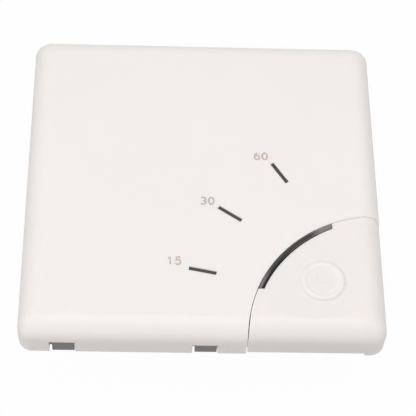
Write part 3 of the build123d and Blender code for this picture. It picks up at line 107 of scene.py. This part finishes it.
# The raised ring on the button, with painted shade at its outer foot and a painted highlight at its inner
# foot: radius, weight and colour at each foot, and how these weigh less at the upper left, where the light
# comes from, than at the lower right
RING_CENTRE = (27.9 * MM, -28.25 * MM)
RING_PAINTED_FEET = (
    (5.35 * MM, 0.24, (0.5, 0.42, 0.35)),
    (3.7 * MM, 0.3, (0.99, 0.97, 0.95)),
)
RING_FOOT_WIDTH = 0.5 * MM
RING_SIDE_MIDDLE, RING_SIDE_SWING = 0.5, -0.38

# The fan of time windows, whose long rims get a painted shadow that makes them darker than their middle
FAN_CENTRE = (42.3 * MM, -34.7 * MM)
FAN_FIRST_TURN = math.radians(33.0)
FAN_STEP = math.radians(22.9)
WINDOW_HALF_WIDTH = 0.45 * MM
WINDOW_RIM_FROM = 0.35
WINDOW_PAINTED_SHADOW_COLOR = (0.012, 0.011, 0.011)

# Metal: a fine grain that colour and gloss follow
METAL_GRAIN_SCALE = 1400.0
METAL_GRAIN_DETAIL = 4.0
METAL_GLOSS = (0.75, 1.3)
METAL_SHADE = (0.9, 1.08)

# Wound copper wire
WIRE_PITCH = 0.25 * MM
WIRE_BUMP = 0.8

# Tracks on the boards
TRACK_SCALE = 160.0
TRACK_WIDTH = 0.035
TRACK_COLOR = (0.03, 0.26, 0.1)

# Printed numbers, in millimetres on the face
STROKE = 0.34
DIGIT_HEIGHT = 2.0
DIGIT_WIDTH = 1.5
DIGIT_STEP = 1.88
PRINT_FLATNESS = 0.08

# Camera, fitted to the plate's outline in the photograph; the fit's zero is the plate's rim
PITCH, YAW, ROLL = -0.5717, 0.0722, -0.0782
PLATE_FROM_CAMERA = Vector((-1.5388, 2.3598, -375.7588)) * MM
RIM_HEIGHT = 1.0 * MM
PHOTO_PIXELS = 416
FOCAL_PIXELS = 1511.1
SENSOR_WIDTH = 36.0
CLIP_START, CLIP_END = 0.01, 10.0

# Floor and ambient light
FLOOR_REACH = 3.0
FLOOR_GAP = 0.02 * MM
FLOOR_COLOR = (0.58, 0.58, 0.58)
FLOOR_WHITE_SHARE = 0.98
AMBIENT_COLOR = (1.0, 0.99, 0.98)
AMBIENT_STRENGTH = 0.505

# Lamps aimed at the plate: place and size in metres, power in watts
LAMPS = (
    ("top softbox", (0.0, -0.015, 0.55), (0.5, 0.3), 1.51),
    ("front fill", (-0.15, -0.6, 0.18), (0.3, 0.3), 0.56),
    ("left fill", (-0.52, -0.1, 0.34), (0.12, 0.12), 0.45),
    ("right fill", (0.52, -0.1, 0.34), (0.12, 0.12), 0.36),
)


# Shader steps
def feed(tree, target, value):
    """Links a socket to an input, or sets a number or colour on it."""
    if isinstance(value, bpy.types.NodeSocket):
        tree.links.new(value, target)
    elif target.type == "RGBA":
        target.default_value = (*value, 1)
    else:
        target.default_value = value


def add_node(tree, kind, inputs):
    """A new node whose named inputs are sockets, numbers or colours."""
    node = tree.nodes.new(kind)
    for name, value in inputs.items():
        feed(tree, node.inputs[name], value)
    return node


def blend_colors(tree, factor, first, second):
    """The colour between two, each a socket or three numbers, at a factor socket."""
    mix = tree.nodes.new("ShaderNodeMix")
    mix.data_type = "RGBA"
    feed(tree, mix.inputs[0], factor)
    feed(tree, mix.inputs[6], first)
    feed(tree, mix.inputs[7], second)
    return mix.outputs[2]


def math_node(tree, operation, first, second=0.0):
    """One arithmetic step on sockets or numbers."""
    node = tree.nodes.new("ShaderNodeMath")
    node.operation = operation
    feed(tree, node.inputs[0], first)
    feed(tree, node.inputs[1], second)
    return node.outputs[0]


def ramp(tree, value, start, end, low=0.0, high=1.0):
    """A socket that goes from low at the start to high at the end, and stays level outside them."""
    limits = {"From Min": start, "From Max": end, "To Min": low, "To Max": high}
    return add_node(tree, "ShaderNodeMapRange", {"Value": value, **limits}).outputs["Result"]


def degree_ramp(tree, angle, ends):
    """A ramp from 0 to 1 over an angle, between two ends in degrees."""
    start, end = ends
    return ramp(tree, angle, math.radians(start), math.radians(end))


def band(tree, value, middle, half_width):
    """A socket that is 1 at the middle and falls to 0 at the half width."""
    off = math_node(tree, "DIVIDE", math_node(tree, "SUBTRACT", value, middle), half_width)
    return math_node(tree, "MAXIMUM", math_node(tree, "SUBTRACT", 1.0, math_node(tree, "ABSOLUTE", off)), 0.0)


def object_place(tree):
    """A socket with a point's place on the object."""
    return tree.nodes.new("ShaderNodeTexCoord").outputs["Object"]


def distance_from(tree, centre):
    """Sockets for how far left of and above a centre on the face a point lies, and how far from it."""
    split = add_node(tree, "ShaderNodeSeparateXYZ", {"Vector": object_place(tree)})
    across = math_node(tree, "SUBTRACT", centre[0], split.outputs["X"])
    up = math_node(tree, "SUBTRACT", split.outputs["Y"], centre[1])
    squares = [math_node(tree, "MULTIPLY", side, side) for side in (across, up)]
    return across, up, math_node(tree, "SQRT", math_node(tree, "ADD", *squares))


def noise(tree, place, scale, detail):
    """A socket with a noise between 0 and 1."""
    inputs = {"Vector": place, "Scale": scale, "Detail": detail}
    return add_node(tree, "ShaderNodeTexNoise", inputs).outputs["Fac"]


def bumped(tree, height, strength, distance):
    """A normal socket that follows a height socket."""
    inputs = {"Height": height, "Strength": strength, "Distance": distance}
    return add_node(tree, "ShaderNodeBump", inputs).outputs["Normal"]


# Materials
def scaled(color, gain, lift=0.0):
    """A colour made lighter or darker, up to full strength."""
    return tuple(min(1.0, c * gain + lift) for c in color)


def new_material(name):
    """A material, its empty node tree and the surface input of its output."""
    material = bpy.data.materials.new(name)
    material.use_nodes = True
    tree = material.node_tree
    tree.nodes.clear()
    return material, tree, tree.nodes.new("ShaderNodeOutputMaterial").inputs["Surface"]


def add_shader(tree, surface, inputs):
    """The one shader of a plastic or metal, joined to the output."""
    shader = add_node(tree, "ShaderNodeBsdfPrincipled", inputs)
    tree.links.new(shader.outputs["BSDF"], surface)


def shader_of(material):
    """A material's tree, its shader's inputs and the socket that feeds its colour."""
    tree = material.node_tree
    inputs = next(n for n in tree.nodes if n.type == "BSDF_PRINCIPLED").inputs
    return tree, inputs, inputs["Base Color"].links[0].from_socket


def painted_seam_glow(tree):
    """A socket that is 1 on the seam's two walls, and one with their share of the full painted glow."""
    _, up, radius = distance_from(tree, CORNER)
    near = band(tree, radius, SEAM_RADIUS, SEAM_HALF_WIDTH)
    wall = math_node(tree, "MINIMUM", math_node(tree, "MULTIPLY", near, SEAM_STEEPNESS), 1.0)
    share = ramp(tree, up, SEAM_LOW_END, 0.0, SEAM_LEAST_SHARE, 1.0)
    return wall, math_node(tree, "MULTIPLY", wall, share)


def plastic(name, color, roughness, spread=0.03, bump=0.0, coat=0.0, subsurface=0.0, wear=0.0, painted_seam_light=None,
            specular=0.5):
    """Moulded plastic: a slow drift of colour and gloss, a fine grain, where asked lighter worn edges, and
    where asked a painted glow on the seam walls.
    """
    material, tree, surface = new_material(name)
    place = object_place(tree)
    drift = noise(tree, place, DRIFT_SCALE, DRIFT_DETAIL)
    gloss = [roughness * (1 + side * GLOSS_SHARE * spread) for side in (-1, 1)]
    shade = blend_colors(tree, drift, scaled(color, 1 - spread), scaled(color, 1 + spread))
    inputs = {
        "Roughness": ramp(tree, drift, DRIFT_LOW, DRIFT_HIGH, *gloss),
        "Specular IOR Level": specular,
        "Coat Weight": coat,
        "Coat Roughness": COAT_ROUGHNESS,
        "Subsurface Weight": subsurface,
        "Subsurface Scale": SUBSURFACE_DEPTH,
        "Subsurface Radius": SUBSURFACE_RADIUS,
    }
    if wear:
        edges = tree.nodes.new("ShaderNodeNewGeometry").outputs["Pointiness"]
        worn = ramp(tree, edges, WEAR_FROM, WEAR_TO, 0.0, wear)
        shade = blend_colors(tree, worn, shade, scaled(color, WORN_GAIN, WORN_LIFT))
    # Painted light on the seam: its walls get a lighter colour and a glow, though the plastic is no lamp
    if painted_seam_light:
        wall, glow = painted_seam_glow(tree)
        shade = blend_colors(tree, wall, shade, painted_seam_light)
        inputs["Emission Color"] = blend_colors(tree, glow, BLACK, painted_seam_light)
        inputs["Emission Strength"] = PAINTED_SEAM_GLOW
    if bump:
        inputs["Normal"] = bumped(tree, noise(tree, place, GRAIN_SCALE, GRAIN_DETAIL), bump, GRAIN_DEPTH)
    add_shader(tree, surface, {"Base Color": shade, **inputs})
    return material


def lens(name):
    """Smoked plastic bent round the plate's corner: dark along its middle, with painted reflections that make
    it paler at its ends and rims, and a painted highlight line near the inner rim.
    """
    material = plastic(name, LENS_COLOR, 0.18, spread=0.08, specular=0.25)
    tree, inputs, base = shader_of(material)
    across, up, radius = distance_from(tree, CORNER)
    angle = math_node(tree, "ARCTAN2", up, across)
    lower_end = degree_ramp(tree, angle, LENS_LOWER_END)
    upper_half = degree_ramp(tree, angle, LENS_UPPER_HALF)
    outer_rim = ramp(tree, radius, LENS_DARK_RADIUS, LENS_OUTER_RADIUS)
    inner_rim = ramp(tree, radius, LENS_DARK_RADIUS, LENS_INNER_RADIUS)
    inner_line = band(tree, radius, LENS_LINE_RADIUS, LENS_LINE_HALF_WIDTH)
    # Painted reflection: the lighter parts below stand in for reflections and a highlight line on the glossy
    # lens
    light = math_node(tree, "MULTIPLY", degree_ramp(tree, angle, LENS_UPPER_END), UPPER_END_PAINTED_REFLECTION)
    for first, second, weight in (
        (outer_rim, outer_rim, OUTER_RIM_PAINTED_REFLECTION),
        (outer_rim, lower_end, OUTER_RIM_LOWER_PAINTED_REFLECTION),
        (inner_rim, upper_half, INNER_RIM_PAINTED_REFLECTION),
        (inner_line, upper_half, INNER_LINE_PAINTED_HIGHLIGHT),
    ):
        part = math_node(tree, "MULTIPLY", math_node(tree, "MULTIPLY", first, second), weight)
        light = math_node(tree, "ADD", light, part)
    factor = math_node(tree, "MINIMUM", light, 1.0)
    feed(tree, inputs["Base Color"], blend_colors(tree, factor, base, LENS_PAINTED_REFLECTION_COLOR))
    return material


def paint_ring_shade_and_highlight(material):
    """Painted shade at the ring's outer foot and a painted highlight at its inner foot, both strongest at the
    lower right.
    """
    tree, inputs, color = shader_of(material)
    across, up, radius = distance_from(tree, RING_CENTRE)
    diagonal = math_node(tree, "DIVIDE", math_node(tree, "ADD", across, up), radius)
    side = math_node(tree, "ADD", math_node(tree, "MULTIPLY", diagonal, RING_SIDE_SWING), RING_SIDE_MIDDLE)
    for foot, weight, painted_color in RING_PAINTED_FEET:
        share = math_node(tree, "MULTIPLY", band(tree, radius, foot, RING_FOOT_WIDTH), side)
        color = blend_colors(tree, math_node(tree, "MULTIPLY", share, weight), color, painted_color)
    feed(tree, inputs["Base Color"], color)


def paint_window_rim_shadows(material):
    """Painted shadow on the time windows' long rims, whose fan gives every point its distance from a middle
    line.
    """
    tree, inputs, base = shader_of(material)
    across, up, radius = distance_from(tree, FAN_CENTRE)
    turn = math_node(tree, "ARCTAN2", across, up)
    steps = math_node(tree, "DIVIDE", math_node(tree, "SUBTRACT", turn, FAN_FIRST_TURN), FAN_STEP)
    off = math_node(tree, "SUBTRACT", steps, math_node(tree, "ROUND", steps))
    off = math_node(tree, "MULTIPLY", math_node(tree, "ABSOLUTE", off), FAN_STEP)
    distance = math_node(tree, "MULTIPLY", off, radius)
    rim = ramp(tree, distance, WINDOW_HALF_WIDTH * WINDOW_RIM_FROM, WINDOW_HALF_WIDTH)
    feed(tree, inputs["Base Color"], blend_colors(tree, rim, base, WINDOW_PAINTED_SHADOW_COLOR))


def metal(name, color, roughness, stretch=(1.0, 1.0, 1.0)):
    """Metal with a grain that can be drawn out along one axis."""
    material, tree, surface = new_material(name)
    place = tree.nodes.new("ShaderNodeVectorMath")
    place.operation = "MULTIPLY"
    feed(tree, place.inputs[0], object_place(tree))
    feed(tree, place.inputs[1], stretch)
    grain = noise(tree, place.outputs["Vector"], METAL_GRAIN_SCALE, METAL_GRAIN_DETAIL)
    add_shader(tree, surface, {
        "Base Color": blend_colors(tree, grain, *(scaled(color, gain) for gain in METAL_SHADE)),
        "Metallic": 1.0,
        "Roughness": ramp(tree, grain, 0.0, 1.0, *(roughness * gain for gain in METAL_GLOSS)),
    })
    return material


def winding(name, color, pitch):
    """Enamelled wire wound side by side: ridges up the part's axis."""
    material = metal(name, color, 0.32)
    tree, inputs, _ = shader_of(material)
    split = add_node(tree, "ShaderNodeSeparateXYZ", {"Vector": object_place(tree)})
    turn = math_node(tree, "MULTIPLY", split.outputs["Z"], 2 * math.pi / pitch)
    feed(tree, inputs["Normal"], bumped(tree, math_node(tree, "SINE", turn), WIRE_BUMP, pitch / 4))
    return material


def laminate(name):
    """Solder mask over tracks that show as slightly lighter lines."""
    material = plastic(name, (0.012, 0.13, 0.05), 0.32, spread=0.05)
    tree, inputs, base = shader_of(material)
    tracks = add_node(tree, "ShaderNodeTexBrick", {
        "Vector": object_place(tree),
        "Scale": TRACK_SCALE,
        "Mortar Size": TRACK_WIDTH,
        "Color1": BLACK,
        "Color2": BLACK,
        "Mortar": WHITE,
    })
    feed(tree, inputs["Base Color"], blend_colors(tree, tracks.outputs["Color"], base, TRACK_COLOR))
    return material


# Cover and button carry a lighter painted colour and a painted glow on the seam walls
cover_white = plastic("cover white", (0.83, 0.794, 0.774), **SHELL, painted_seam_light=(0.99, 0.965, 0.945))
button_white = plastic("button white", (0.82, 0.776, 0.752), **SHELL, painted_seam_light=(0.99, 0.96, 0.94))
# Painted shade and highlight round the button's ring
paint_ring_shade_and_highlight(button_white)
smoked = plastic("smoked", (0.082, 0.073, 0.067), 0.35, spread=0.08, specular=0.25)
# Painted shadow on the time windows' long rims
paint_window_rim_shadows(smoked)
lens_dark = lens("lens")
frame_grey = plastic("frame grey", (0.162, 0.153, 0.152), 0.55, bump=0.15, wear=0.3)
housing_white = plastic("housing", (0.6, 0.59, 0.56), 0.5, bump=0.15, wear=0.3)
terminal_grey = plastic("terminal", (0.05, 0.055, 0.06), 0.45, bump=0.1, wear=0.25)
diffuser_white = plastic("light box", (0.8, 0.8, 0.8), 0.6)
black = plastic("black moulding", (0.012, 0.012, 0.012), 0.45, bump=0.1, wear=0.1)
film = plastic("film", (0.55, 0.48, 0.25), 0.3)
relay_blue = plastic("relay case", (0.012, 0.06, 0.3), 0.35, bump=0.08, wear=0.25)
bobbin_cream = plastic("bobbin", (0.6, 0.57, 0.48), 0.5)
capacitor_yellow = plastic("capacitor", (0.62, 0.42, 0.02), 0.35, bump=0.1, wear=0.2)
sleeve_blue = plastic("sleeve", (0.008, 0.012, 0.05), 0.25, coat=0.3)
varistor_blue = plastic("varistor", (0.012, 0.09, 0.28), 0.3, bump=0.2, coat=0.4)
ceramic = plastic("ceramic", (0.72, 0.69, 0.62), 0.4)
ferrite = plastic("ferrite", (0.03, 0.03, 0.032), 0.5, bump=0.4)
phosphor = plastic("phosphor", (0.9, 0.75, 0.25), 0.25, coat=0.5)
board_green = laminate("board")
copper = winding("copper", (0.75, 0.3, 0.12), WIRE_PITCH)
steel = metal("bright steel", (0.6, 0.6, 0.6), 0.25)
zinc = metal("zinc plate", (0.62, 0.62, 0.6), 0.33)
contact = metal("contact", (0.78, 0.6, 0.38), 0.3, (1.0, 1.0, 0.1))

finish = {
    cover_white: ["front_cover"],
    button_white: ["timer_button"],
    smoked: ["window_15", "window_30", "window_60"],
    lens_dark: ["arc_lens"],
    frame_grey: ["mounting_frame"],
    housing_white: ["rear_housing"],
    terminal_grey: ["terminal_block"],
    diffuser_white: ["light_box"],
    board_green: ["control_board", "power_board"],
    black: ["tact_body", "tact_plunger", "controller_chip", "header_body", "bridge_rectifier", "relay_base",
            "chip_resistors"],
    phosphor: ["window_lights", "arc_lights"],
    film: ["insulating_sheet"],
    relay_blue: ["relay_case"],
    bobbin_cream: ["relay_bobbin"],
    capacitor_yellow: ["suppression_capacitor"],
    sleeve_blue: ["smoothing_capacitor"],
    varistor_blue: ["varistor"],
    ceramic: ["fuse_body"],
    ferrite: ["choke_core"],
    copper: ["relay_winding", "choke_winding"],
    steel: ["return_spring_1", "return_spring_2", "tact_dome", "tact_shield"],
    zinc: ["board_screws", "housing_screws", "relay_yoke", "relay_core", "relay_armature",
           "terminal_cage_1", "terminal_cage_2", "terminal_cage_3",
           "terminal_screw_1", "terminal_screw_2", "terminal_screw_3"],
    contact: ["relay_pins", "header_pins", "fixed_contact", "contact_blade", "terminal_tongues", "fuse_caps"],
}
for material, names in finish.items():
    for name in names:
        nodes[name].data.materials.clear()
        nodes[name].data.materials.append(material)

# Printed numbers on the cover
ink = plastic("ink", (0.52, 0.41, 0.34), 0.6)


def print_digit(name, lines, left, bottom):
    """A digit printed on the face: thin strokes, given as point lists in a unit box."""
    curve = bpy.data.curves.new(name, "CURVE")
    curve.dimensions = "3D"
    curve.bevel_depth = STROKE / 2 * MM
    curve.bevel_resolution = 2
    curve.use_fill_caps = True
    for line in lines:
        spline = curve.splines.new("POLY")
        spline.points.add(len(line) - 1)
        for point, (x, y) in zip(spline.points, line):
            point.co = ((left + x * DIGIT_WIDTH) * MM, (bottom + y * DIGIT_HEIGHT) * MM, 0, 1)
    mark = bpy.data.objects.new(name, curve)
    mark.scale = (1, 1, PRINT_FLATNESS)
    mark.location = (0, 0, FACE)
    scene.collection.objects.link(mark)
    curve.materials.append(ink)
    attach(mark, "front_cover")


def arc(cx, cy, rx, ry, start, end, steps):
    """Points of an ellipse's arc, in degrees."""
    turns = [math.radians(start + (end - start) * k / steps) for k in range(steps + 1)]
    return [(cx + rx * math.cos(t), cy + ry * math.sin(t)) for t in turns]


ONE = [[(0.15, 0.78), (0.5, 1.0), (0.5, 0.0)]]
THREE = [arc(0.45, 0.74, 0.38, 0.26, 150, -80, 18) + arc(0.45, 0.27, 0.42, 0.27, 80, -150, 20)]
FIVE = [[(0.82, 1.0), (0.2, 1.0), (0.12, 0.52)] + arc(0.44, 0.33, 0.42, 0.33, 130, -150, 22)]
SIX = [arc(0.5, 0.32, 0.4, 0.32, 0, 360, 28), [(0.12, 0.4)] + arc(0.75, 0.42, 0.64, 0.58, 175, 110, 10)]
ZERO = [arc(0.5, 0.5, 0.4, 0.5, 0, 360, 30)]
for label, digits, left, bottom in (
    ("mark_15", (ONE, FIVE), -8.65, -24.7),
    ("mark_30", (THREE, ZERO), -0.75, -7.8),
    ("mark_60", (SIX, ZERO), 12.5, 5.55),
):
    for k, digit in enumerate(digits):
        print_digit(f"{label}_{k + 1}", digit, left + DIGIT_STEP * k, bottom)

# Camera
turns = (Euler((0, 0, ROLL)), Euler((PITCH, 0, 0)), Euler((0, 0, YAW)))
roll, pitch, yaw = (turn.to_matrix().to_4x4() for turn in turns)
to_rim = Matrix.Translation((0, 0, -RIM_HEIGHT))
to_camera = Matrix.Translation(PLATE_FROM_CAMERA) @ roll @ pitch @ yaw @ to_rim
camera_data = bpy.data.cameras.new("camera")
camera_data.sensor_width = SENSOR_WIDTH
camera_data.lens = SENSOR_WIDTH * FOCAL_PIXELS / PHOTO_PIXELS
camera_data.clip_start = CLIP_START
camera_data.clip_end = CLIP_END
camera = bpy.data.objects.new("camera", camera_data)
camera.matrix_world = to_camera.inverted()
scene.collection.objects.link(camera)
scene.camera = camera


# Floor, background and lamps
def seen_directly(tree):
    """A socket that is 1 for rays from the camera and those that mirror or glass send on."""
    rays = tree.nodes.new("ShaderNodeLightPath")
    glossy = math_node(tree, "MAXIMUM", rays.outputs["Is Camera Ray"], rays.outputs["Is Glossy Ray"])
    return math_node(tree, "MAXIMUM", glossy, rays.outputs["Is Transmission Ray"])


def mix_shaders(tree, factor, first, second, surface):
    """Feeds an output with the mix of two shaders at a factor socket."""
    mix = tree.nodes.new("ShaderNodeMixShader")
    for target, value in zip(mix.inputs, (factor, first.outputs[0], second.outputs[0])):
        tree.links.new(value, target)
    tree.links.new(mix.outputs["Shader"], surface)


level = lowest[2] - FLOOR_GAP
corners = [(x * FLOOR_REACH, y * FLOOR_REACH, level) for x, y in ((-1, -1), (1, -1), (1, 1), (-1, 1))]
floor_mesh = bpy.data.meshes.new("floor")
floor_mesh.from_pydata(corners, [], [(0, 1, 2, 3)])
floor = bpy.data.objects.new("floor", floor_mesh)
scene.collection.objects.link(floor)
floor_material, tree, surface = new_material("floor")
matt = add_node(tree, "ShaderNodeBsdfDiffuse", {"Color": FLOOR_COLOR})
white = add_node(tree, "ShaderNodeEmission", {"Color": WHITE, "Strength": 1.0})
mix_shaders(tree, math_node(tree, "MULTIPLY", seen_directly(tree), FLOOR_WHITE_SHARE), matt, white, surface)
floor_mesh.materials.append(floor_material)
floor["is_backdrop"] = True

world = bpy.data.worlds.new("world")
scene.world = world
world.use_nodes = True
tree = world.node_tree
tree.nodes.clear()
surface = tree.nodes.new("ShaderNodeOutputWorld").inputs["Surface"]
ambient = add_node(tree, "ShaderNodeBackground", {"Color": AMBIENT_COLOR, "Strength": AMBIENT_STRENGTH})
white = add_node(tree, "ShaderNodeBackground", {"Color": WHITE, "Strength": 1.0})
mix_shaders(tree, seen_directly(tree), ambient, white, surface)

for name, place, size, power in LAMPS:
    data = bpy.data.lights.new(name, "AREA")
    data.shape = "RECTANGLE"
    data.size, data.size_y = size
    data.energy = power
    lamp = bpy.data.objects.new(name, data)
    lamp.location = place
    lamp.rotation_euler = (-Vector(place)).to_track_quat("-Z", "Y").to_euler()
    scene.collection.objects.link(lamp)

lowest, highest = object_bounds()
